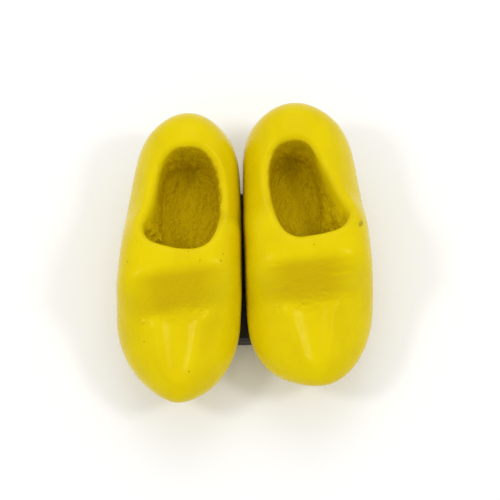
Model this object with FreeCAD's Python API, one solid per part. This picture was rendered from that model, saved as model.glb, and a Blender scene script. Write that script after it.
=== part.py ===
import FreeCAD, Part

import math
import os

# A pair of miniature painted wooden clogs, glued side by side on a round ferrite magnet.
#
# Row frame: origin at the centre of the magnet's outer face, +Z up through the soles, toes towards -Y,
# millimetres. Left and right are as seen by someone the toes point at, who looks along +Y.
#
# Each clog is shaped in its own frame first: x across (positive away from its partner), z up from the
# sole, and y forward as a station, the distance from the back of the heel. settle() puts it in place.

V = FreeCAD.Vector

# ---- magnet and glue ----------------------------------------------------------------------------
MAGNET_RADIUS = 11.0
MAGNET_THICKNESS = 3.0
MAGNET_CHAMFER = 0.35
GLUE_THICKNESS = 0.3
GLUE_RADIUS = 10.2
GLUE_SPLIT = 1.2                # half the bare strip between the two glue pads
SOLE_Z = MAGNET_THICKNESS + GLUE_THICKNESS

# ---- heights above the sole ---------------------------------------------------------------------
HEEL_RIM_HEIGHT = 13.8
INSTEP_HEIGHT = 15.3
TOE_HEIGHT = 11.6
TOE_FALL = 2.2                  # from the start of the toe to just behind its tip
TIP_HEIGHT = 6.6
HEEL_END_HEIGHT = 7.5
TOE_LIFT = 4.6
FLOOR_HEIGHT = 5.4
SOLE_TRIM = 0.5                 # planed off the rounded underside to leave a flat sole
WAIST_SHARE = 0.42              # where each section is widest, as a share of its height

# ---- stations, as a share of the clog's length from the heel ------------------------------------
HEEL_ROUND = 0.22
HEEL_BEND = 0.6
HEEL_TOP_ROUND = 0.14
HEEL_FOOT_ROUND = 0.07
RISE_FROM, INSTEP_FROM = 0.25, 0.50
INSTEP_TO, TOE_FROM = 0.60, 0.75
FLAT_TOP_FROM = 0.36            # the instep's top is flatter across than the heel's and the toe's
FLAT_TOP_TO, ROUND_TOP_FROM = 0.60, 0.73
SLANT_TO, STRAIGHT_FROM = 0.77, 0.95   # between these the sections lose the instep's slant
WIDEST = 0.69
TOE_LIFT_FROM = 0.66
NOSE_TOP_ROUND, NOSE_FOOT_ROUND = 0.80, 0.92
STATION_COUNT = 44              # crowded towards both rounded ends
SECTION_POINTS = 32
OPENING_POINTS = 32

# ---- squareness: 2 gives an ellipse, more gives fuller corners ----------------------------------
HEEL_PLAN = 2.9
HEEL_TOP = 2.6
HEEL_FOOT = 2.2
NOSE_TOP = 3.2
ROUND_TOP = 2.15
FLAT_TOP = 3.7
TOE_TOP = 1.72
LOWER_HALF = 2.9
OPENING = 2.7
CORNER = 3.0                    # of the bulge at the opening's corner

# ---- hollow -------------------------------------------------------------------------------------
# Height above the sole, share of the opening's size, share of the bulge at its outer front corner.
POCKET_LEVELS = [
    (17.5, 1.08, 1.25),
    (13.5, 1.0, 1.05),
    (12.0, 0.98, 0.9),
    (10.6, 0.965, 0.55),
    (9.2, 0.95, 0.15),
    (7.8, 0.94, 0.0),
    (6.5, 0.93, 0.0),
    (5.8, 0.905, 0.0),
    (FLOOR_HEIGHT, 0.85, 0.0),
]
# Height above the sole, share of the gouge's size.
GOUGE_LEVELS = [(13.4, 0.90), (12.4, 0.92), (11.0, 0.86), (9.4, 0.68), (8.0, 0.40)]
GOUGE_TOP = 12.8
GOUGE_LEAN = 0.6                # how far the gouge moves forward as it goes down
CAVE_RADIUS = 3.25              # of the hollow under the instep
CAVE_REACH = 1.5                # how far its centre line passes the pocket's front
RIM_ROUND = 0.8
ON_SURFACE = 0.01

# ---- whittled flats, as (station, height above the sole) ----------------------------------------
FACET_TOP = (24.4, 15.05)
FACET_FOOT = (29.4, 11.25)
FLAT_END = (38.6, 9.1)
FLAT_OVERRUN = 3.0              # how far the cutters pass the wood
CLEAR_ABOVE = 8.0
SOLE_BLOCK = (60.0, 60.0, 10.0)


def mix(a, b, share):
    """a at share 0, b at share 1."""
    return a + (b - a) * share


def ramp(x, low, high):
    """0 below low, 1 above high, smooth between them."""
    share = min(max((x - low) / (high - low), 0.0), 1.0)
    return share * share * (3 - 2 * share)


def round_off(share, power=2.0, root=0.5):
    """1 at share 0, falling to 0 at share 1 like a rounded end."""
    share = min(max(share, 0.0), 1.0)
    return (1 - share**power) ** root


def signed_power(x, power):
    return math.copysign(abs(x) ** power, x)


def closed_curve(points):
    curve = Part.BSplineCurve()
    curve.interpolate(points, PeriodicFlag=True)
    return Part.Wire([curve.toShape()])


def opening(centre, half_width, half_length, turn, corner=(0.0, 0.0, 1.0), bulge=0.0):
    """A level outline round centre, between an ellipse and a rectangle, turned by some degrees.

    corner is how far it bulges outwards at one corner, where (degrees from +x) and over how wide an angle.
    """
    reach, corner_angle, corner_spread = corner
    points = []
    for i in range(OPENING_POINTS):
        angle = 2 * math.pi * i / OPENING_POINTS
        from_corner = (math.degrees(angle) - corner_angle + 180) % 360 - 180
        push = bulge * reach * math.exp(-abs(from_corner / corner_spread) ** CORNER)
        across = half_width * signed_power(math.cos(angle), 2 / OPENING) + push
        along = half_length * signed_power(math.sin(angle), 2 / OPENING)
        points.append(V(across, along, 0))
    wire = closed_curve(points)
    wire.rotate(V(0, 0, 0), V(0, 0, 1), turn)
    wire.translate(centre)
    return wire


class Clog:
    """One clog. side is +1 for the right one and -1 for the left one."""

    def __init__(self, name, side, length, half_width, heel_share, yaw, place, heel_shift,
                 tip_shift, outer_toe, inner_toe, instep_tilt, pocket, corner, gouge):
        self.name = name
        self.side = side
        self.length = length
        self.half_width = half_width
        self.heel_share = heel_share        # width behind the heel's rounding, of the full width
        self.yaw = yaw                      # degrees that the toe turns outwards
        self.place = place
        self.heel_shift = heel_shift        # how far the heel and the tip bend outwards
        self.tip_shift = tip_shift
        self.outer_toe = outer_toe          # power and root of the toe's rounding, away from the partner
        self.inner_toe = inner_toe
        self.instep_tilt = instep_tilt      # degrees that the instep's front edge slants
        self.pocket = pocket                # centre x, centre station, half width, half length, turn
        self.corner = corner                # the opening's bulge, as opening() takes it
        self.gouge = gouge                  # as pocket

    # -- outline in plan --------------------------------------------------------------------------
    def edges(self, t):
        """Inner and outer edge of the clog at share t of its length."""
        heel_round = round_off(1 - t / HEEL_ROUND, HEEL_PLAN) if t < HEEL_ROUND else 1.0
        growth = mix(self.heel_share, 1.0, math.sin(math.pi / 2 * min(t / WIDEST, 1.0)))
        full = self.half_width * heel_round * growth
        toe = max(t - WIDEST, 0.0) / (1 - WIDEST)
        heel = max(1 - t / HEEL_BEND, 0.0)
        shift = self.tip_shift * toe**4 + self.heel_shift * heel**2
        return shift - full * round_off(toe, *self.inner_toe), shift + full * round_off(toe, *self.outer_toe)

    # -- side profile -----------------------------------------------------------------------------
    def top(self, t):
        height = mix(HEEL_RIM_HEIGHT, INSTEP_HEIGHT, ramp(t, RISE_FROM, INSTEP_FROM))
        height = mix(height, TOE_HEIGHT, ramp(t, INSTEP_TO, TOE_FROM))
        height -= TOE_FALL * max(t - TOE_FROM, 0.0) / (1 - TOE_FROM)
        if t < HEEL_TOP_ROUND:
            height = mix(HEEL_END_HEIGHT, height, round_off(1 - t / HEEL_TOP_ROUND, HEEL_TOP))
        if t > NOSE_TOP_ROUND:
            height = mix(TIP_HEIGHT, height, round_off((t - NOSE_TOP_ROUND) / (1 - NOSE_TOP_ROUND), NOSE_TOP))
        return height

    def bottom(self, t):
        lift = TOE_LIFT * (max(t - TOE_LIFT_FROM, 0.0) / (1 - TOE_LIFT_FROM)) ** 2 - SOLE_TRIM
        if t < HEEL_FOOT_ROUND:
            return mix(HEEL_END_HEIGHT, lift, round_off(1 - t / HEEL_FOOT_ROUND, HEEL_FOOT))
        if t > NOSE_FOOT_ROUND:
            return mix(TIP_HEIGHT, lift, round_off((t - NOSE_FOOT_ROUND) / (1 - NOSE_FOOT_ROUND)))
        return lift

    def section(self, t):
        """The outline across the clog at share t, a rounded shape fuller below its waist than above."""
        inner, outer = self.edges(t)
        middle, half = (inner + outer) / 2, (outer - inner) / 2
        top, bottom = self.top(t), self.bottom(t)
        waist = mix(bottom, top, WAIST_SHARE)
        rise = ramp(t, FLAT_TOP_FROM, INSTEP_FROM)
        instep = rise * (1 - ramp(t, FLAT_TOP_TO, ROUND_TOP_FROM))
        toe = ramp(t, ROUND_TOP_FROM, NOSE_TOP_ROUND)
        upper_power = 2 / mix(mix(ROUND_TOP, FLAT_TOP, instep), TOE_TOP, toe)
        lower_power = 2 / LOWER_HALF
        slant = math.tan(math.radians(self.instep_tilt)) * rise * (1 - ramp(t, SLANT_TO, STRAIGHT_FROM))
        points = []
        for i in range(SECTION_POINTS):
            angle = -math.pi / 2 + 2 * math.pi * i / SECTION_POINTS
            across, up = math.cos(angle), math.sin(angle)
            x = middle + half * signed_power(across, upper_power if up > 0 else lower_power)
            reach = (top - waist) if up > 0 else (waist - bottom)
            z = waist + reach * signed_power(up, upper_power if up > 0 else lower_power)
            points.append(V(x, self.length * t + slant * x * ramp(z, waist, top), z))
        return points

    def blank(self):
        """The turned outside, before any flat is cut."""
        shares = [0.5 - 0.5 * math.cos(math.pi * (i + 0.5) / STATION_COUNT) for i in range(STATION_COUNT)]
        return Part.makeLoft([closed_curve(self.section(t)) for t in shares], True, False)

    # -- cuts -------------------------------------------------------------------------------------
    def flats(self):
        """What is whittled away above the steep facet in front of the instep and the flat along the toe."""
        run = FACET_FOOT[0] - FACET_TOP[0]
        slope = (FACET_FOOT[1] - FACET_TOP[1]) / run
        back = FACET_TOP[0] - FLAT_OVERRUN
        front = self.length + FLAT_OVERRUN
        flat_slope = (FLAT_END[1] - FACET_FOOT[1]) / (FLAT_END[0] - FACET_FOOT[0])
        high = INSTEP_HEIGHT + CLEAR_ABOVE
        profile = [
            V(0, back, FACET_TOP[1] + slope * (back - FACET_TOP[0])),
            V(0, *FACET_FOOT),
            V(0, front, FACET_FOOT[1] + flat_slope * (front - FACET_FOOT[0])),
            V(0, front, high),
            V(0, back, high),
        ]
        wide = 2 * self.half_width
        block = Part.Face(Part.makePolygon(profile + profile[:1])).extrude(V(2 * wide, 0, 0))
        block.translate(V(-wide, 0, 0))
        block.rotate(V(0, FACET_TOP[0], 0), V(0, 0, 1), self.instep_tilt)
        return block

    def sole_block(self):
        """What is planed away below the sole."""
        width, length, depth = SOLE_BLOCK
        return Part.makeBox(width, length, depth, V(-width / 2, -FLAT_OVERRUN, -depth))

    def foot_pocket(self):
        """The deep pocket from the opening down. Its wall slopes in under the bulge at the corner."""
        x, station, half_width, half_length, turn = self.pocket
        wires = []
        for height, share, bulge in POCKET_LEVELS:
            centre = V(x, station, height)
            wires.append(opening(centre, half_width * share, half_length * share, turn, self.corner, bulge))
        return Part.makeLoft(wires, True, False)

    def side_gouge(self):
        """The hollow gouged out below the bulged corner, which runs forward and down under the instep."""
        x, station, half_width, half_length, turn = self.gouge
        wires = []
        for height, share in GOUGE_LEVELS:
            forward = GOUGE_LEAN * max(GOUGE_TOP - height, 0.0)
            centre = V(x, station + forward, height)
            wires.append(opening(centre, half_width * share, half_length * share, turn))
        return Part.makeLoft(wires, True, False)

    def toe_cave(self):
        """The hollow under the instep that the toes would fill."""
        x, station, _, half_length, _ = self.pocket
        start = V(x, station, FLOOR_HEIGHT + CAVE_RADIUS)
        reach = half_length + CAVE_REACH
        tunnel = Part.makeCylinder(CAVE_RADIUS, reach, start, V(0, 1, 0))
        return tunnel.fuse(Part.makeSphere(CAVE_RADIUS, start + V(0, reach, 0)))

    def rim_edges(self, hollowed, outside):
        """The edges where the hollow comes out through the top."""
        found = []
        for edge in hollowed.Edges:
            middle = edge.valueAt((edge.FirstParameter + edge.LastParameter) / 2)
            above = middle.z > HEEL_END_HEIGHT and middle.y < FACET_TOP[0] - RIM_ROUND
            if above and outside.distToShape(Part.Vertex(middle))[0] < ON_SURFACE:
                found.append(edge)
        return found

    def carved(self):
        outside = self.blank().cut(self.flats()).cut(self.sole_block())
        hollowed = outside
        for cutter in (self.foot_pocket(), self.side_gouge(), self.toe_cave()):
            hollowed = hollowed.cut(cutter)
        skin = outside.Solids[0].Shells[0]
        return hollowed.Solids[0].makeFillet(RIM_ROUND, self.rim_edges(hollowed, skin))

    def settle(self, shape):
        """Turns the clog's own frame (station forward) into the row frame (toes towards -Y)."""
        flip = FreeCAD.Matrix()
        flip.A11 = self.side
        flip.A22 = -1
        flip.A24 = self.length / 2
        shape = shape.transformGeometry(flip)
        shape.rotate(V(0, 0, 0), V(0, 0, 1), self.side * self.yaw)
        shape.translate(V(self.side * self.place[0], self.place[1], SOLE_Z))
        return shape


LEFT = Clog(
    "clog_left", side=-1, length=40.6, half_width=8.45, heel_share=0.77, yaw=2.3, place=(8.25, -0.9),
    heel_shift=-0.2, tip_shift=-0.35, outer_toe=(2.15, 0.74), inner_toe=(2.3, 0.62), instep_tilt=11.0,
    pocket=(-0.75, 14.1, 4.25, 7.4, 3.5), corner=(2.0, 36.0, 30.5), gouge=(2.3, 18.4, 2.5, 2.7, 0.0),
)
RIGHT = Clog(
    "clog_right", side=1, length=39.9, half_width=8.7, heel_share=0.82, yaw=3.3, place=(8.8, 1.0),
    heel_shift=-0.6, tip_shift=0.8, outer_toe=(2.1, 0.60), inner_toe=(3.0, 0.51), instep_tilt=-2.0,
    pocket=(-1.0, 14.25, 3.6, 7.05, -3.5), corner=(2.95, 42.0, 42.0), gouge=(1.8, 17.7, 3.0, 3.2, -8.0),
)


def magnet():
    disc = Part.makeCylinder(MAGNET_RADIUS, MAGNET_THICKNESS)
    rims = [edge for edge in disc.Edges if edge.Closed]
    return disc.makeChamfer(MAGNET_CHAMFER, rims)


def glue_pad(side):
    """The glue film under one sole, a disc cut off short of the gap between the clogs."""
    disc = Part.makeCylinder(GLUE_RADIUS, GLUE_THICKNESS, V(0, 0, MAGNET_THICKNESS))
    half = Part.makeBox(GLUE_RADIUS, 2 * GLUE_RADIUS, SOLE_Z, V(GLUE_SPLIT, -GLUE_RADIUS, 0))
    if side < 0:
        half = half.mirror(V(0, 0, 0), V(1, 0, 0))
    return disc.common(half)


def main():
    os.makedirs("parts", exist_ok=True)
    pieces = {clog.name: clog.settle(clog.carved()) for clog in (LEFT, RIGHT)}
    pieces["magnet"] = magnet()
    pieces["glue_pad_left"] = glue_pad(-1)
    pieces["glue_pad_right"] = glue_pad(1)
    for name, shape in pieces.items():
        print(name, shape.isValid(), shape.ShapeType, round(shape.Volume, 1), shape.BoundBox)
        shape.exportStep("parts/" + name + ".step")


main()
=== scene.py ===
import math

import bpy
import numpy as np
from mathutils import Matrix, Vector


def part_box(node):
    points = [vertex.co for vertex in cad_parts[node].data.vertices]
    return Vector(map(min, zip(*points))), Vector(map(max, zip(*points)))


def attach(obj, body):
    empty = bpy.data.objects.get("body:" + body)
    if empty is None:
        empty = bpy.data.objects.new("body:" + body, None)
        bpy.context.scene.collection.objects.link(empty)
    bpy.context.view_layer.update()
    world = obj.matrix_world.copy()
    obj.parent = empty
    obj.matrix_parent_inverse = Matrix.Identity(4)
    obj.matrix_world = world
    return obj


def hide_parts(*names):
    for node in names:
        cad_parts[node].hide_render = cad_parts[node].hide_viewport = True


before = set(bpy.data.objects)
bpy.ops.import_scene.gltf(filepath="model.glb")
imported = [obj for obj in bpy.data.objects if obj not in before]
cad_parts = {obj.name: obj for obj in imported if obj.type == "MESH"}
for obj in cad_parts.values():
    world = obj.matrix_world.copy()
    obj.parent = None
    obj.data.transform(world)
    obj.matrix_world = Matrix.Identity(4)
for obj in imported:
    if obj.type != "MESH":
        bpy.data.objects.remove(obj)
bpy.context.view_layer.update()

# A pair of miniature yellow-painted wooden clogs, glued side by side on a round ferrite magnet.
# Each clog is a finer, hand-worked skin of its CAD solid. The magnet and the glue pads keep their own meshes.
# Shapes are worked on in millimetres and scaled back to metres at the end.

MM = 0.001

# ---- the clogs' own frames, as the CAD places them ----------------------------------------------
SOLE_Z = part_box("clog_left")[0][2] / MM


class Clog:
    """side is +1 for the right clog and -1 for the left one; local x points away from its partner."""

    def __init__(self, node, side, length, yaw, place, seed):
        self.node = node
        self.side = side
        self.length = length
        self.yaw = math.radians(side * yaw)
        self.place = (side * place[0], place[1])
        self.seed = seed

    def local(self, points):
        """Row-frame points in mm as (x away from the partner, station from the heel, height above sole)."""
        x = points[:, 0] - self.place[0]
        y = points[:, 1] - self.place[1]
        c = math.cos(-self.yaw)
        s = math.sin(-self.yaw)
        return np.column_stack([
            self.side * (c * x - s * y),
            self.length / 2 - (s * x + c * y),
            points[:, 2] - SOLE_Z,
        ])


LEFT = Clog("clog_left", side=-1, length=40.6, yaw=2.3, place=(8.25, -0.9), seed=3)
RIGHT = Clog("clog_right", side=1, length=39.9, yaw=3.3, place=(8.8, 1.0), seed=11)

# ---- mesh helpers -------------------------------------------------------------------------------
VOXEL = 0.186
WELD_DISTANCE = 1e-4
RELAX_STEP = 0.5


def remeshed_copy(node, name):
    """A copy of a CAD node, in mm, as one even skin of small quads."""
    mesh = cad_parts[node].data.copy()
    mesh.name = name
    mesh.transform(Matrix.Scale(1 / MM, 4))
    piece = bpy.data.objects.new(name, mesh)
    bpy.context.scene.collection.objects.link(piece)
    weld = piece.modifiers.new("weld", "WELD")
    weld.merge_threshold = WELD_DISTANCE
    remesh = piece.modifiers.new("remesh", "REMESH")
    remesh.mode = "VOXEL"
    remesh.voxel_size = VOXEL
    depsgraph = bpy.context.evaluated_depsgraph_get()
    even = bpy.data.meshes.new_from_object(piece.evaluated_get(depsgraph))
    piece.modifiers.clear()
    piece.data = even
    bpy.data.meshes.remove(mesh)
    even.name = name
    even.materials.clear()
    return piece


def read_points(mesh):
    points = np.empty(len(mesh.vertices) * 3)
    mesh.vertices.foreach_get("co", points)
    return points.reshape(-1, 3)


def write_points(mesh, points):
    mesh.vertices.foreach_set("co", points.ravel())
    mesh.update()


def normals(mesh):
    values = np.empty(len(mesh.vertices) * 3)
    mesh.vertices.foreach_get("normal", values)
    return values.reshape(-1, 3)


def edge_pairs(mesh):
    pairs = np.empty(len(mesh.edges) * 2, dtype=np.int64)
    mesh.edges.foreach_get("vertices", pairs)
    return pairs.reshape(-1, 2)


def relaxed(points, pairs, rounds, share):
    """Plain smoothing: each point moves towards the middle of its neighbours, which rounds edges off."""
    count = np.bincount(pairs.ravel(), minlength=len(points))[:, None]
    for _ in range(rounds):
        total = np.zeros_like(points)
        np.add.at(total, pairs[:, 0], points[pairs[:, 1]])
        np.add.at(total, pairs[:, 1], points[pairs[:, 0]])
        points = points + share[:, None] * RELAX_STEP * (total / count - points)
    return points


def ramp(x, low, high):
    """0 below low, 1 above high, and a smooth step between."""
    share = np.clip((x - low) / (high - low), 0, 1)
    return share * share * (3 - 2 * share)


def bump(x, centre, width):
    """1 at the centre, falling away smoothly on both sides."""
    return np.exp(-(((x - centre) / width) ** 2))


# Large odd numbers that scramble a lattice cell into a repeatable random height.
CELL_FACTORS = (374761393, 668265263, 2147483647)
SEED_FACTOR = 974634777
SCRAMBLE_FACTOR = 1274126177
LOW_32_BITS = 0xFFFFFFFF
HALF_OF_32_BITS = 2147483647.5
OCTAVE_SHIFT = 17.3


def lattice_height(x, y, z, seed):
    """A height from -1 to 1 for each lattice corner."""
    cell = x * CELL_FACTORS[0] + y * CELL_FACTORS[1] + z * CELL_FACTORS[2]
    h = (cell + seed * SEED_FACTOR) & LOW_32_BITS
    h = ((h ^ (h >> 13)) * SCRAMBLE_FACTOR) & LOW_32_BITS
    h = (h ^ (h >> 16)) & LOW_32_BITS
    return h / HALF_OF_32_BITS - 1


def value_noise(points, seed):
    """Smooth noise from -1 to 1 on a unit lattice, the same on every run."""
    cell = np.floor(points).astype(np.int64)
    f = points - cell
    f = f * f * (3 - 2 * f)
    total = np.zeros(len(points))
    for dx in (0, 1):
        for dy in (0, 1):
            for dz in (0, 1):
                weight = (
                    (f[:, 0] if dx else 1 - f[:, 0])
                    * (f[:, 1] if dy else 1 - f[:, 1])
                    * (f[:, 2] if dz else 1 - f[:, 2])
                )
                total += lattice_height(cell[:, 0] + dx, cell[:, 1] + dy, cell[:, 2] + dz, seed) * weight
    return total


def layered_noise(points, seed, octaves=3):
    """Value noise in layers, each half as large and half as strong as the one before."""
    total = np.zeros(len(points))
    strength = 1.0
    for octave in range(octaves):
        total += strength * value_noise(points * (2**octave) + OCTAVE_SHIFT * octave, seed + octave)
        strength *= 0.5
    return total


def flat(a, b):
    """Two coordinates as points in a plane, for noise that doesn't change with height."""
    return np.column_stack([a, b, 0 * a])


def turned(x, y, degrees):
    c = math.cos(math.radians(degrees))
    s = math.sin(math.radians(degrees))
    return c * x + s * y, c * y - s * x


# ---- shaping a clog -----------------------------------------------------------------------------
# Lengths, stations and heights are in mm, in the clog's own frame.
# A pair of values is mostly where a ramp starts and where it ends.
AXIS_X = -0.7                       # a line inside the hollow, which tells its walls from the outside
AXIS_STATIONS = (10.5, 22.5)
AXIS_HEIGHT = 9.0
LIP_LINE = 24.4                     # the edge between the lip of the opening and the facet
FACET_FOOT = 29.4                   # the edge between the facet and the toe
TOE_END = 38.6
TINY = 1e-6

# Values of facing_out, which is near 1 on the outside and near -1 on the walls of the hollow.
INSIDE_FACING = (-0.35, 0.25)
RIM_FACING = (0.0, 0.45)
WIDE_RIM_FACING = (-0.15, 0.85)
RIM_HEIGHTS = (9.0, 11.0)


def facing_out(local, normal):
    """How squarely the skin faces away from the line inside the hollow."""
    on_axis = np.column_stack([
        np.full(len(local), AXIS_X),
        np.clip(local[:, 1], *AXIS_STATIONS),
        np.full(len(local), AXIS_HEIGHT),
    ])
    away = local - on_axis
    return (away * normal).sum(1) / np.maximum(np.linalg.norm(away, axis=1), TINY)


def across_slant(x, station, slant):
    """The station measured from a line that crosses the clog at the facet's slant, in degrees."""
    return station - math.tan(math.radians(slant)) * x


class Form:
    """The working state of one clog's skin: points in the row frame, in mm, and what is read from them."""

    def __init__(self, clog, mesh):
        self.clog = clog
        self.mesh = mesh
        self.pairs = edge_pairs(mesh)
        self.points = read_points(mesh)
        self.refresh()

    def refresh(self):
        write_points(self.mesh, self.points)
        self.normal = normals(self.mesh)
        self.local = self.clog.local(self.points)
        self.local_normal = self.clog.local(self.points + self.normal) - self.local
        facing = facing_out(self.local, self.local_normal)
        self.inside = 1 - ramp(facing, *INSIDE_FACING)
        high = ramp(self.local[:, 2], *RIM_HEIGHTS)
        self.rim = bump(facing, *RIM_FACING) * high
        self.wide_rim = bump(facing, *WIDE_RIM_FACING) * high

    def upward(self, low, high):
        """1 where the skin faces up, 0 where it stands upright or faces down."""
        return ramp(self.local_normal[:, 2], low, high)

    def noise(self, points, shift, octaves=3):
        """Noise from this clog's own seed. Each use has its own shift, so that no two patterns are alike."""
        return layered_noise(points, self.clog.seed + shift, octaves)

    def push(self, amount):
        """Moves every point along its normal, in mm."""
        self.points = self.points + self.normal * amount[:, None]

    def lift(self, amount):
        """Moves every point straight up, in mm."""
        self.points = self.points + np.array([0, 0, 1.0]) * amount[:, None]

    def relax(self, rounds, share):
        self.points = relaxed(self.points, self.pairs, rounds, share)


# How many rounds of smoothing each place gets.
SKIN_ROUNDS = 2
FLANK_ROUNDS = 9
RIM_ROUNDS = 20
OUTER_RIM_ROUNDS = 90
FACET_SIDE_ROUNDS = 60
FACET_EDGE_ROUNDS = 4
TOE_ROUNDS = 5

FLANK_UPWARD = (0.30, 0.55)
FRONT_RIM_STATIONS = (17.5, 20.5)
OUTER_RIM_X = (1.2, 2.8)
OUTER_RIM_FROM = (8.5, 11.0)
OUTER_RIM_TO = (17.0, 19.5)
WAIST_HEIGHTS = (7.5, 9.5)
FACET_MIDDLE = -0.4
FACET_SIDE_X = (2.6, 4.4)
FACET_CENTRE = 27.0
FACET_REACH = 4.2
LIP_EDGE_WIDTH = 1.0
FOOT_EDGE_WIDTH = 1.3


def soften(form, slant):
    """Paint and sanding round every edge, most of all the rim at the heel and the sides."""
    x, station, height = form.local.T
    form.relax(SKIN_ROUNDS, np.ones(len(station)))
    form.refresh()
    form.relax(FLANK_ROUNDS, (1 - form.inside) * (1 - form.upward(*FLANK_UPWARD)))
    form.refresh()
    form.relax(RIM_ROUNDS, form.rim * (1 - ramp(station, *FRONT_RIM_STATIONS)))
    outer_rim = form.wide_rim * ramp(x, *OUTER_RIM_X) * ramp(station, *OUTER_RIM_FROM)
    form.relax(OUTER_RIM_ROUNDS, outer_rim * (1 - ramp(station, *OUTER_RIM_TO)))
    outside = 1 - form.inside
    line = across_slant(x, station, slant)
    above_waist = ramp(height, *WAIST_HEIGHTS)
    facet_sides = ramp(np.abs(x - FACET_MIDDLE), *FACET_SIDE_X) * bump(line, FACET_CENTRE, FACET_REACH)
    form.relax(FACET_SIDE_ROUNDS, np.clip(facet_sides * outside * above_waist, 0, 1))
    facet_edges = np.maximum(bump(line, LIP_LINE, LIP_EDGE_WIDTH), bump(line, FACET_FOOT, FOOT_EDGE_WIDTH))
    form.relax(FACET_EDGE_ROUNDS, facet_edges * outside * above_waist)
    form.refresh()


TOE_MIDDLE = -0.5
SPREAD_AT_FACET = 3.0               # half the distance between the toe's two shoulders
SPREAD_LOSS = 1.7                   # how much of that is gone at the tip
SHOULDER_HEIGHT = 0.22
SHOULDER_WIDTH = 0.50               # as a share of the spread
PLANED_SHARE = 0.050                # mm taken off between the shoulders, per mm of spread squared
TOE_UPWARD = (0.35, 0.7)
TOE_START = 1.6
TOE_FADE = 2.0


def shape_toe(form, toe_bend, slant):
    """Two shoulders along the toe with a flat wedge between them that narrows to the tip."""
    x, station, _ = form.local.T
    run = np.clip((station - FACET_FOOT) / (TOE_END - FACET_FOOT), 0, 1)
    middle = TOE_MIDDLE + toe_bend * run
    spread = SPREAD_AT_FACET - SPREAD_LOSS * run
    top = form.upward(*TOE_UPWARD) * (1 - form.inside)
    from_foot = ramp(across_slant(x, station, slant), FACET_FOOT, FACET_FOOT + TOE_START)
    along = from_foot * (1 - ramp(station, TOE_END - TOE_FADE, TOE_END))
    across = np.abs(x - middle)
    planed_off = PLANED_SHARE * np.maximum(spread**2 - across**2, 0)
    shoulders = SHOULDER_HEIGHT * bump(across, spread, SHOULDER_WIDTH * spread)
    form.lift(top * along * (shoulders - planed_off))
    form.relax(TOE_ROUNDS, top * along)
    form.refresh()


MARKS_LIP_FADE = 0.8
MARKS_FOOT_FADE = 0.6
MARKS_SIDE_X = (4.6, 6.6)
UPPER_UPWARD = (0.3, 0.6)
DRIFT_SIZE = (3.0, 1.2)
DRIFT_PHASE = 2.6
DRIFT_SHARE = 0.6
BREAK_SIZE = (1.6, 0.9)
BREAK_STEP = (-0.3, 0.3)


def tool_marks(form, slant, spacing, angle, depth):
    """Faint chatter of the tool across the facet, in waves that wander and break off."""
    x, station, _ = form.local.T
    line = across_slant(x, station, slant)
    facet = ramp(line, LIP_LINE, LIP_LINE + MARKS_LIP_FADE)
    facet *= 1 - ramp(line, FACET_FOOT - MARKS_FOOT_FADE, FACET_FOOT + MARKS_FOOT_FADE)
    facet *= (1 - ramp(np.abs(x), *MARKS_SIDE_X)) * form.upward(*UPPER_UPWARD) * (1 - form.inside)
    along, across = turned(x, line, angle)
    drift = form.noise(flat(along / DRIFT_SIZE[0], across / DRIFT_SIZE[1]), shift=9)
    wave = np.sin(2 * math.pi * across / spacing + DRIFT_PHASE * drift)
    broken = ramp(form.noise(flat(along / BREAK_SIZE[0], across / BREAK_SIZE[1]), shift=10), *BREAK_STEP)
    form.lift(facet * depth * (wave * broken + DRIFT_SHARE * drift))
    form.refresh()


NIB_COUNT = 70
NIB_HALF_RUN = 5.2                  # how far to either side of the middle the nibs reach
NIB_AHEAD = 0.3                     # how far in front of the facet's foot they are
NIB_SCATTER = 0.55
NIB_LENGTHS = (0.18, 0.50)
NIB_WIDTHS = (0.12, 0.18)
NIB_HEIGHTS = [0.12, 0.09, -0.06]   # two kinds of nib and a pit
NIB_HEIGHT_SPREAD = (0.6, 1.3)
NIB_TURN = 20
RAGGED_SIZE = (0.8, 0.35)
RAGGED_HEIGHT = 0.035
RAGGED_AHEAD = 0.4
RAGGED_WIDTH = 1.0
PATCH_SIZE = (2.4, 3.0)
PATCH_STEP = (-0.25, 0.35)
LEAST_PATCH = 0.35
TORN_SIDE_X = (5.0, 6.4)


def tear_facet_foot(form, slant, rng):
    """Fibres torn and filled with paint along the foot of the facet, as short nibs and pits."""
    x, station, _ = form.local.T
    top = form.upward(*UPPER_UPWARD) * (1 - form.inside)
    amount = np.zeros(len(x))
    for _ in range(NIB_COUNT):
        centre_x = rng.uniform(-NIB_HALF_RUN, NIB_HALF_RUN)
        on_line = FACET_FOOT + NIB_AHEAD + math.tan(math.radians(slant)) * centre_x
        centre_station = on_line + rng.normal(0, NIB_SCATTER)
        length = rng.uniform(*NIB_LENGTHS)
        width = rng.uniform(*NIB_WIDTHS)
        nib_height = rng.choice(NIB_HEIGHTS) * rng.uniform(*NIB_HEIGHT_SPREAD)
        along, across = turned(x - centre_x, station - centre_station, rng.uniform(-NIB_TURN, NIB_TURN))
        amount += nib_height * np.exp(-((along / length) ** 2) - (across / width) ** 2)
    ragged = form.noise(flat(x / RAGGED_SIZE[0], station / RAGGED_SIZE[1]), shift=40)
    line = across_slant(x, station, slant)
    amount += RAGGED_HEIGHT * ragged * bump(line, FACET_FOOT + RAGGED_AHEAD, RAGGED_WIDTH)
    patches = form.noise(flat(x / PATCH_SIZE[0], station / PATCH_SIZE[1]), shift=41, octaves=2)
    amount *= LEAST_PATCH + (1 - LEAST_PATCH) * ramp(patches, *PATCH_STEP)
    form.lift(top * amount * (1 - ramp(np.abs(x), *TORN_SIDE_X)))
    form.refresh()


SLOW_SIZE = (4.2, 7.0, 4.2)
SLOW_DEPTH = 0.045
FINE_SIZE = (1.3, 2.4, 1.3)
FINE_DEPTH = 0.006
SOLE_HEIGHTS = (0.1, 1.2)


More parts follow.
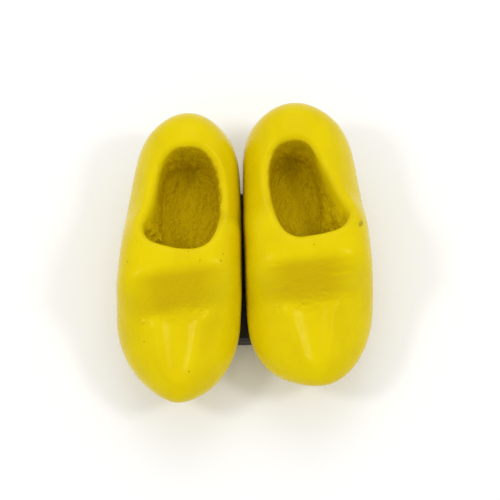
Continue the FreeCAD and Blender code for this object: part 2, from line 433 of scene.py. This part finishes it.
def hand_shape(form):
    """The slow unevenness of hand work, longer along the grain than across it, under the paint."""
    above_sole = ramp(form.local[:, 2], *SOLE_HEIGHTS)
    slow = SLOW_DEPTH * form.noise(form.local / np.array(SLOW_SIZE), shift=0)
    fine = FINE_DEPTH * form.noise(form.local / np.array(FINE_SIZE), shift=5)
    form.push((1 - form.inside) * above_sole * (slow + fine))
    form.refresh()


FLOOR_UPWARD = (0.25, 0.75)
STROKE_SIZE = (0.42, 1.0, 0.8)
STROKE_DEPTH = 0.20
WALL_SIZE = (0.45, 0.45, 1.3)
WALL_DEPTH = 0.15
LUMP_SIZE = 1.5
LUMP_DEPTH = 0.11
DEEP_HEIGHTS = (9.8, 12.6)
GOUGE_X = (2.2, 3.2)
GOUGE_STATIONS = (15.0, 17.0)
GOUGE_HEIGHTS = (12.2, 13.4)
GOUGE_STRENGTH = 1.3
REAR_STATIONS = (8.5, 10.5)
REAR_HEIGHTS = (11.5, 13.2)
REAR_STRENGTH = 0.3
MOST_STRENGTH = 1.5
SLOPE_HEIGHTS = (10.0, 11.6)
SLOPE_X = (1.0, 2.6)
SLOPE_STATIONS = (16.5, 18.5)
SLOPE_CALM = 0.95


def rough_hollow(form, floor_angle):
    """Torn fibres and gouge strokes over the hollow, apart from its smooth outer slope."""
    x, station, height = form.local.T
    along, across = turned(x, station, floor_angle)
    on_floor = np.column_stack([along, across, height]) / np.array(STROKE_SIZE)
    strokes = form.noise(on_floor, shift=21, octaves=2)
    wall = form.noise(form.local / np.array(WALL_SIZE), shift=22, octaves=2)
    lumps = form.noise(form.local / LUMP_SIZE, shift=23, octaves=2)
    deep = 1 - ramp(height, *DEEP_HEIGHTS)
    gouge = ramp(x, *GOUGE_X) * ramp(station, *GOUGE_STATIONS) * (1 - ramp(height, *GOUGE_HEIGHTS))
    rear = (1 - ramp(station, *REAR_STATIONS)) * (1 - ramp(height, *REAR_HEIGHTS))
    slope = ramp(height, *SLOPE_HEIGHTS) * ramp(x, *SLOPE_X) * (1 - ramp(station, *SLOPE_STATIONS))
    strength = np.clip(deep + GOUGE_STRENGTH * gouge + REAR_STRENGTH * rear, 0, MOST_STRENGTH)
    strength = strength * (1 - SLOPE_CALM * slope)
    floor = form.upward(*FLOOR_UPWARD)
    amount = floor * STROKE_DEPTH * strokes + (1 - floor) * WALL_DEPTH * wall + LUMP_DEPTH * lumps
    form.push(form.inside**2 * strength * amount)
    form.refresh()


CRUMB_SIZE = 0.42


def chip(form, spots):
    """Small crumbled places on the rim: (x, station, height, radius, depth)."""
    for x, station, height, radius, depth in spots:
        distance = np.linalg.norm(form.local - np.array([x, station, height]), axis=1)
        crumbs = form.noise(form.local / CRUMB_SIZE, shift=60, octaves=2)
        form.push(depth * crumbs * np.exp(-((distance / radius) ** 2)))
    form.refresh()


LAST_SHARE = 0.5


def settle(form):
    """One light smoothing at the end, with the sole kept flat on its plane."""
    form.relax(1, np.full(len(form.points), LAST_SHARE))
    form.points[:, 2] = np.maximum(form.points[:, 2], SOLE_Z)
    form.refresh()


# ---- where the enamel changes -------------------------------------------------------------------
CALM_SLOPE_HEIGHTS = (10.2, 12.2)
CALM_SLOPE_STATIONS = (17.0, 19.0)
CALM_SLOPE_SHARE = 0.9
CALM_RIM_HEIGHTS = (12.6, 13.8)
CALM_RIM_SHARE = 0.5
SCUFF_GRAIN = 0.3
SCUFF_RAGGED = 0.5
SCUFF_UPWARD = (0.0, 0.3)
PAINT_UPWARD = (0.3, 0.7)
LIP_STATION = 22.6
LIP_WIDTH = 1.7
FACET_SHADE_FROM = (-0.2, 1.2)             # past the lip line
FACET_SHADE_TO = (-1.2, 0.8)               # past the facet's foot
FACET_SHADE_SIDE_X = (1.8, 7.2)
FOOT_AHEAD = 0.3
FOOT_WIDTH = 1.3
FOOT_MIDDLE = -0.3
FOOT_SIDE_X = (4.6, 6.0)


def store(mesh, name, values):
    layer = mesh.attributes.new(name, "FLOAT", "POINT")
    layer.data.foreach_set("value", values.astype(np.float32))


def scuffed(form, scuffs):
    """Rubbed places: (x, station, length, width, angle)."""
    scuff = np.zeros(len(form.points))
    for x, station, length, width, angle in scuffs:
        along, across = turned(form.local[:, 0] - x, form.local[:, 1] - station, angle)
        ragged = 1 + SCUFF_RAGGED * form.noise(form.local / SCUFF_GRAIN, shift=70, octaves=2)
        scuff = np.maximum(scuff, ragged * np.exp(-((along / length) ** 2) - (across / width) ** 2))
    return scuff * (1 - form.inside) * form.upward(*SCUFF_UPWARD)


def mark_paint(form, slant, scuffs):
    """Stores where the hollow, scuffs, lip, facet and facet's foot are, for the enamel to read."""
    x, station, height = form.local.T
    slope = ramp(height, *CALM_SLOPE_HEIGHTS) * ramp(x, *SLOPE_X) * (1 - ramp(station, *CALM_SLOPE_STATIONS))
    under_rim = 1 - CALM_RIM_SHARE * ramp(height, *CALM_RIM_HEIGHTS)
    # the stored inside mask also sets the hollow's painted shade, which is strongest deep down
    store(form.mesh, "inside", form.inside * (1 - CALM_SLOPE_SHARE * slope) * under_rim)
    store(form.mesh, "scuff", scuffed(form, scuffs))
    upper = (1 - form.inside) * form.upward(*PAINT_UPWARD)
    line = across_slant(x, station, slant)
    # the facet mask sets where the facet's painted shade lies
    facet = ramp(line, LIP_LINE + FACET_SHADE_FROM[0], LIP_LINE + FACET_SHADE_FROM[1])
    facet *= 1 - ramp(line, FACET_FOOT + FACET_SHADE_TO[0], FACET_FOOT + FACET_SHADE_TO[1])
    facet_side = 1 - ramp(np.abs(x - FACET_MIDDLE), *FACET_SHADE_SIDE_X)
    foot_side = 1 - ramp(np.abs(x - FOOT_MIDDLE), *FOOT_SIDE_X)
    store(form.mesh, "lip", bump(station, LIP_STATION, LIP_WIDTH) * upper)
    store(form.mesh, "facet", facet * upper * facet_side)
    store(form.mesh, "foot", bump(line, FACET_FOOT + FOOT_AHEAD, FOOT_WIDTH) * upper * foot_side)


def carve(clog, name, material, slant, toe_bend, marks, floor_angle, chips, scuffs):
    """The finished skin of one clog, in place of its CAD node. marks is (spacing, angle, depth)."""
    piece = remeshed_copy(clog.node, name)
    form = Form(clog, piece.data)
    rng = np.random.default_rng(clog.seed)
    soften(form, slant)
    shape_toe(form, toe_bend, slant)
    tool_marks(form, slant, *marks)
    tear_facet_foot(form, slant, rng)
    hand_shape(form)
    rough_hollow(form, floor_angle)
    chip(form, chips)
    settle(form)
    mark_paint(form, slant, scuffs)
    piece.data.transform(Matrix.Scale(MM, 4))
    for polygon in piece.data.polygons:
        polygon.use_smooth = True
    piece.data.materials.append(material)
    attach(piece, "root")
    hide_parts(clog.node)


# ---- materials ----------------------------------------------------------------------------------
class Nodes:
    """A short way to write node materials. Sizes are in mm, from object coordinates."""

    def __init__(self, name):
        self.material = bpy.data.materials.new(name)
        self.material.use_nodes = True
        self.tree = self.material.node_tree
        self.shader = self.tree.nodes["Principled BSDF"]
        coordinates = self.add("ShaderNodeTexCoord")
        self.place = self.add("ShaderNodeMapping")
        self.place.inputs["Scale"].default_value = (1 / MM,) * 3
        self.link(coordinates.outputs["Object"], self.place.inputs["Vector"])

    def add(self, kind, **settings):
        node = self.tree.nodes.new(kind)
        for key, value in settings.items():
            setattr(node, key, value)
        return node

    def link(self, output, socket):
        self.tree.links.new(output, socket)

    def feed(self, node, key, value):
        """Links a socket, or sets a plain value, on one of a node's inputs."""
        if isinstance(value, bpy.types.NodeSocket):
            self.link(value, node.inputs[key])
        else:
            node.inputs[key].default_value = value

    def stretched(self, size):
        node = self.add("ShaderNodeMapping")
        node.inputs["Scale"].default_value = tuple(1 / s for s in size)
        self.link(self.place.outputs["Vector"], node.inputs["Vector"])
        return node.outputs["Vector"]

    def noise(self, size, detail=3.0, roughness=0.5):
        node = self.add("ShaderNodeTexNoise")
        node.inputs["Scale"].default_value = 1.0
        node.inputs["Detail"].default_value = detail
        node.inputs["Roughness"].default_value = roughness
        self.link(self.stretched(size), node.inputs["Vector"])
        return node.outputs["Fac"]

    def cells(self, size):
        """The distance to the nearest of a loose grid of points, and that point's random colour."""
        node = self.add("ShaderNodeTexVoronoi", feature="F1")
        node.inputs["Scale"].default_value = 1.0
        self.link(self.stretched((size,) * 3), node.inputs["Vector"])
        return node.outputs["Distance"], node.outputs["Color"]

    def between(self, value, low, high, to_low=0.0, to_high=1.0):
        node = self.add("ShaderNodeMapRange", interpolation_type="SMOOTHSTEP")
        self.feed(node, "Value", value)
        self.feed(node, "From Min", low)
        self.feed(node, "From Max", high)
        self.feed(node, "To Min", to_low)
        self.feed(node, "To Max", to_high)
        return node.outputs["Result"]

    def math(self, operation, a, b):
        node = self.add("ShaderNodeMath", operation=operation)
        self.feed(node, 0, a)
        self.feed(node, 1, b)
        return node.outputs["Value"]

    def times(self, a, b):
        return self.math("MULTIPLY", a, b)

    def mix(self, share, a, b):
        """Colour a where the share is 0, and colour b where it is 1."""
        node = self.add("ShaderNodeMix", data_type="RGBA")
        for index, value in ((0, share), (6, a), (7, b)):
            self.feed(node, index, value)
        return node.outputs[2]

    def attribute(self, name):
        return self.add("ShaderNodeAttribute", attribute_name=name).outputs["Fac"]

    def first_channel(self, colour):
        node = self.add("ShaderNodeSeparateColor")
        self.link(colour, node.inputs["Color"])
        return node.outputs["Red"]

    def bump(self, height, distance_mm, after=None):
        node = self.add("ShaderNodeBump")
        node.inputs["Strength"].default_value = 1.0
        node.inputs["Distance"].default_value = distance_mm * MM
        self.feed(node, "Height", height)
        if after is not None:
            self.link(after, node.inputs["Normal"])
        return node.outputs["Normal"]


YELLOW = (0.715, 0.560, 0.0010, 1)
DEEP_YELLOW = (0.680, 0.520, 0.0008, 1)
# painted shade: a darker, browner yellow for the hollow
HOLLOW_SHADE_YELLOW = (0.655, 0.462, 0.0008, 1)
# painted shade: a darker yellow for the steep facet, which gets less light
FACET_SHADE_YELLOW = (0.582, 0.414, 0.0008, 1)
BARE_SPECK = (0.13, 0.07, 0.004, 1)
SCUFF_BROWN = (0.24, 0.15, 0.008, 1)
SHINE_TINT = (1.0, 0.86, 0.34, 1)
ENAMEL_SPECULAR = 0.12
ENAMEL_ROUGHNESS = (0.20, 0.31)
MORE_ROUGH_INSIDE = 0.30
MORE_ROUGH_IN_HOLES = 0.3

CLOUD_SIZE = (3.6, 5.5, 3.6)
GRAIN_SIZE = (0.28, 2.6, 0.28)
PEEL_SIZE = (0.55, 0.75, 0.55)
TORN_SIZE = (0.34, 0.55, 0.34)
PATCHY_SIZE = (0.9, 0.7, 0.9)
NIB_CELL = 0.5

CLOUD_STEP = (0.36, 0.66)
GRAIN_STEP = (0.56, 0.74)
SCUFF_STEP = (0.25, 0.85)
PEEL_STEP = (0.2, 0.8)
PATCHY_STEP = (0.45, 0.60)
NIB_RADII = (0.12, 0.42)

THIN_SHARE = 0.20
HOLLOW_SHADE_SHARE = 0.85
HOLE_SHARE = 0.7
SCUFF_SHARE = 0.6
TORN_ON_FACET = 0.24

PEEL_DEPTH = 0.007
GRAIN_DEPTH = 0.005
TORN_DEPTH = 0.50
NIB_DEPTH = 0.06
PIT_DEPTH = 0.08

HOLE_CORE = 0.5
PICK_STEP = 0.01


def pinholes(nodes, cell, radius, share):
    """Tiny holes in the paint, in a share of the cells of a loose grid."""
    distance, colour = nodes.cells(cell)
    pick = nodes.first_channel(colour)
    chosen = nodes.between(pick, 1 - share, 1 - share + PICK_STEP)
    hole = nodes.between(distance, HOLE_CORE * radius / cell, radius / cell, 1.0, 0.0)
    return nodes.times(hole, chosen)


def enamel():
    """Yellow enamel brushed over carved poplar, with painted shade darkening the hollow and the facet."""
    nodes = Nodes("yellow_enamel")
    shader = nodes.shader
    inside = nodes.attribute("inside")
    facet = nodes.attribute("facet")
    grain = nodes.noise(GRAIN_SIZE, detail=4.0, roughness=0.6)
    peel = nodes.noise(PEEL_SIZE, detail=2.0)

    cloudy = nodes.between(nodes.noise(CLOUD_SIZE), *CLOUD_STEP)
    colour = nodes.mix(cloudy, YELLOW, DEEP_YELLOW)
    thin = nodes.times(nodes.between(grain, *GRAIN_STEP), THIN_SHARE)
    colour = nodes.mix(thin, colour, DEEP_YELLOW)
    # painted shade: the hollow is darker and browner, most of all deep down below the rim
    colour = nodes.mix(nodes.times(inside, HOLLOW_SHADE_SHARE), colour, HOLLOW_SHADE_YELLOW)
    # painted shade: the facet is darker because it gets less light
    colour = nodes.mix(facet, colour, FACET_SHADE_YELLOW)
    outside = nodes.math("SUBTRACT", 1.0, inside)
    scattered = nodes.times(pinholes(nodes, cell=2.1, radius=0.11, share=0.30), outside)
    crowded = nodes.times(pinholes(nodes, cell=0.75, radius=0.10, share=0.40), nodes.attribute("lip"))
    holes = nodes.math("MAXIMUM", scattered, crowded)
    colour = nodes.mix(nodes.times(holes, HOLE_SHARE), colour, BARE_SPECK)
    scuff = nodes.between(nodes.attribute("scuff"), *SCUFF_STEP)
    colour = nodes.mix(nodes.times(scuff, SCUFF_SHARE), colour, SCUFF_BROWN)
    nodes.link(colour, shader.inputs["Base Color"])

    roughness = nodes.between(peel, *PEEL_STEP, *ENAMEL_ROUGHNESS)
    roughness = nodes.math("ADD", roughness, nodes.times(inside, MORE_ROUGH_INSIDE))
    roughness = nodes.math("ADD", roughness, nodes.times(holes, MORE_ROUGH_IN_HOLES))
    nodes.link(roughness, shader.inputs["Roughness"])
    shader.inputs["Specular IOR Level"].default_value = ENAMEL_SPECULAR
    shader.inputs["Specular Tint"].default_value = SHINE_TINT

    normal = nodes.bump(peel, PEEL_DEPTH)
    normal = nodes.bump(grain, GRAIN_DEPTH, after=normal)
    torn_share = nodes.math("ADD", inside, nodes.times(facet, TORN_ON_FACET))
    torn = nodes.times(nodes.noise(TORN_SIZE, detail=4.0, roughness=0.6), torn_share)
    normal = nodes.bump(torn, TORN_DEPTH, after=normal)
    nib_distance, _ = nodes.cells(NIB_CELL)
    nibs = nodes.times(nodes.between(nib_distance, *NIB_RADII, 1.0, 0.0), nodes.attribute("foot"))
    nibs = nodes.times(nibs, nodes.between(nodes.noise(PATCHY_SIZE, detail=2.0), *PATCHY_STEP))
    normal = nodes.bump(nibs, NIB_DEPTH, after=normal)
    normal = nodes.bump(nodes.math("SUBTRACT", 1.0, holes), PIT_DEPTH, after=normal)
    nodes.link(normal, shader.inputs["Normal"])
    return nodes.material


FERRITE_BLACK = (0.013, 0.012, 0.011, 1)
FERRITE_BROWN = (0.026, 0.022, 0.019, 1)
FERRITE_GLINT = (0.06, 0.055, 0.05, 1)
FERRITE_ROUGHNESS = (0.5, 0.7)
GRIT_SIZE = (0.09, 0.09, 0.09)
STAIN_SIZE = (2.6, 2.6, 2.6)
SCRATCH_SIZE = (0.08, 3.5, 0.5)
STAIN_STEP = (0.35, 0.65)
DULL_STEP = (0.3, 0.7)
GLINT_STEP = (0.62, 0.8)
GLINT_SHARE = 0.5
GRIT_DEPTH = 0.03
SCRATCH_DEPTH = 0.012


def ferrite():
    """Sintered black ferrite, ground flat on its faces."""
    nodes = Nodes("black_ferrite")
    shader = nodes.shader
    grit = nodes.noise(GRIT_SIZE, detail=4.0, roughness=0.65)
    stain = nodes.noise(STAIN_SIZE)
    colour = nodes.mix(nodes.between(stain, *STAIN_STEP), FERRITE_BLACK, FERRITE_BROWN)
    colour = nodes.mix(nodes.times(nodes.between(grit, *GLINT_STEP), GLINT_SHARE), colour, FERRITE_GLINT)
    nodes.link(colour, shader.inputs["Base Color"])
    nodes.link(nodes.between(stain, *DULL_STEP, *FERRITE_ROUGHNESS), shader.inputs["Roughness"])
    normal = nodes.bump(grit, GRIT_DEPTH)
    normal = nodes.bump(nodes.noise(SCRATCH_SIZE, roughness=0.6), SCRATCH_DEPTH, after=normal)
    nodes.link(normal, shader.inputs["Normal"])
    return nodes.material


GLUE_PALE = (0.62, 0.50, 0.26, 1)
GLUE_AMBER = (0.48, 0.34, 0.13, 1)
GLUE_ROUGHNESS = (0.22, 0.42)
GLUE_CLEARNESS = 0.15
STRING_SIZE = (0.5, 0.5, 0.2)
BUBBLE_CELL = 0.45
STRING_DEPTH = 0.06
BUBBLE_DEPTH = 0.04


def glue():
    """Hardened amber contact glue."""
    nodes = Nodes("amber_glue")
    shader = nodes.shader
    strings = nodes.noise(STRING_SIZE)
    bubbles, _ = nodes.cells(BUBBLE_CELL)
    colour = nodes.mix(nodes.between(strings, *STAIN_STEP), GLUE_PALE, GLUE_AMBER)
    nodes.link(colour, shader.inputs["Base Color"])
    nodes.link(nodes.between(strings, *DULL_STEP, *GLUE_ROUGHNESS), shader.inputs["Roughness"])
    shader.inputs["Transmission Weight"].default_value = GLUE_CLEARNESS
    normal = nodes.bump(strings, STRING_DEPTH)
    normal = nodes.bump(bubbles, BUBBLE_DEPTH, after=normal)
    nodes.link(normal, shader.inputs["Normal"])
    return nodes.material


def dress(node, material):
    """Gives a CAD node that stays as it is a better material."""
    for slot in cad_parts[node].material_slots:
        slot.material = material


# ---- room, light and camera ---------------------------------------------------------------------
FLOOR_Z = -0.02 * MM                # a hair under the magnet, so that the two faces never lie in one plane
FLOOR_HALF = 0.6
TABLE_WHITE = (0.93, 0.93, 0.93, 1)
TABLE_ROUGHNESS = 0.9
TABLE_SPECULAR = 0.1


def room():
    mesh = bpy.data.meshes.new("floor")
    corners = [(x * FLOOR_HALF, y * FLOOR_HALF, FLOOR_Z) for x, y in ((-1, -1), (1, -1), (1, 1), (-1, 1))]
    mesh.from_pydata(corners, [], [(0, 1, 2, 3)])
    floor = bpy.data.objects.new("floor", mesh)
    bpy.context.scene.collection.objects.link(floor)
    material = bpy.data.materials.new("white_table")
    material.use_nodes = True
    shader = material.node_tree.nodes["Principled BSDF"]
    shader.inputs["Base Color"].default_value = TABLE_WHITE
    shader.inputs["Roughness"].default_value = TABLE_ROUGHNESS
    shader.inputs["Specular IOR Level"].default_value = TABLE_SPECULAR
    mesh.materials.append(material)


def aimed(data, name, place, target):
    """A lamp or camera at a place, turned towards its target."""
    item = bpy.data.objects.new(name, data)
    bpy.context.scene.collection.objects.link(item)
    item.location = place
    item.rotation_mode = "QUATERNION"
    item.rotation_quaternion = (Vector(target) - Vector(place)).to_track_quat("-Z", "Y")
    return item


LOOK_AT = (1.1 * MM, 0.7 * MM, 8.0 * MM)
CAMERA_ELEVATION = math.radians(72)
CAMERA_DISTANCE = 0.185
CAMERA_LENS = 95.9
CAMERA_SENSOR = 36
CAMERA_SEES = (0.01, 10)
# Place, size and power of each softbox: one overhead, and one on either side for the soft highlights.
LAMPS = [
    ((0.0, 0.19, 0.26), 0.20, 0.17),
    ((-0.150, -0.025, 0.230), 0.045, 0.13),
    ((0.152, -0.025, 0.230), 0.045, 0.13),
]
SKY_STRENGTH = 0.74


def lights():
    for place, size, power in LAMPS:
        data = bpy.data.lights.new("softbox", "AREA")
        data.size = size
        data.energy = power
        aimed(data, "softbox", place, LOOK_AT)
    world = bpy.data.worlds.new("studio")
    world.use_nodes = True
    background = world.node_tree.nodes["Background"]
    background.inputs["Color"].default_value = (1, 1, 1, 1)
    background.inputs["Strength"].default_value = SKY_STRENGTH
    bpy.context.scene.world = world
    bpy.context.scene.view_settings.view_transform = "Standard"


def camera():
    data = bpy.data.cameras.new("camera")
    data.sensor_width = CAMERA_SENSOR
    data.lens = CAMERA_LENS
    data.clip_start, data.clip_end = CAMERA_SEES
    back = Vector((0, -math.cos(CAMERA_ELEVATION), math.sin(CAMERA_ELEVATION)))
    place = Vector(LOOK_AT) + back * CAMERA_DISTANCE
    bpy.context.scene.camera = aimed(data, "camera", place, LOOK_AT)


camera()
lights()
room()
paint = enamel()
carve(
    LEFT, "clog_left_carved", paint, slant=11.0, toe_bend=0.0, marks=(0.66, 50.0, 0.034), floor_angle=-25.0,
    chips=[(3.0, 9.2, 12.0, 0.7, 0.10)], scuffs=[],
)
carve(
    RIGHT, "clog_right_carved", paint, slant=-2.0, toe_bend=0.8, marks=(1.15, 0.0, 0.075), floor_angle=15.0,
    chips=[(-4.7, 11.6, 12.6, 0.35, 0.08)], scuffs=[(7.0, 19.9, 0.30, 0.75, 30.0)],
)
dress("magnet", ferrite())
amber = glue()
for pad in ("glue_pad_left", "glue_pad_right"):
    dress(pad, amber)
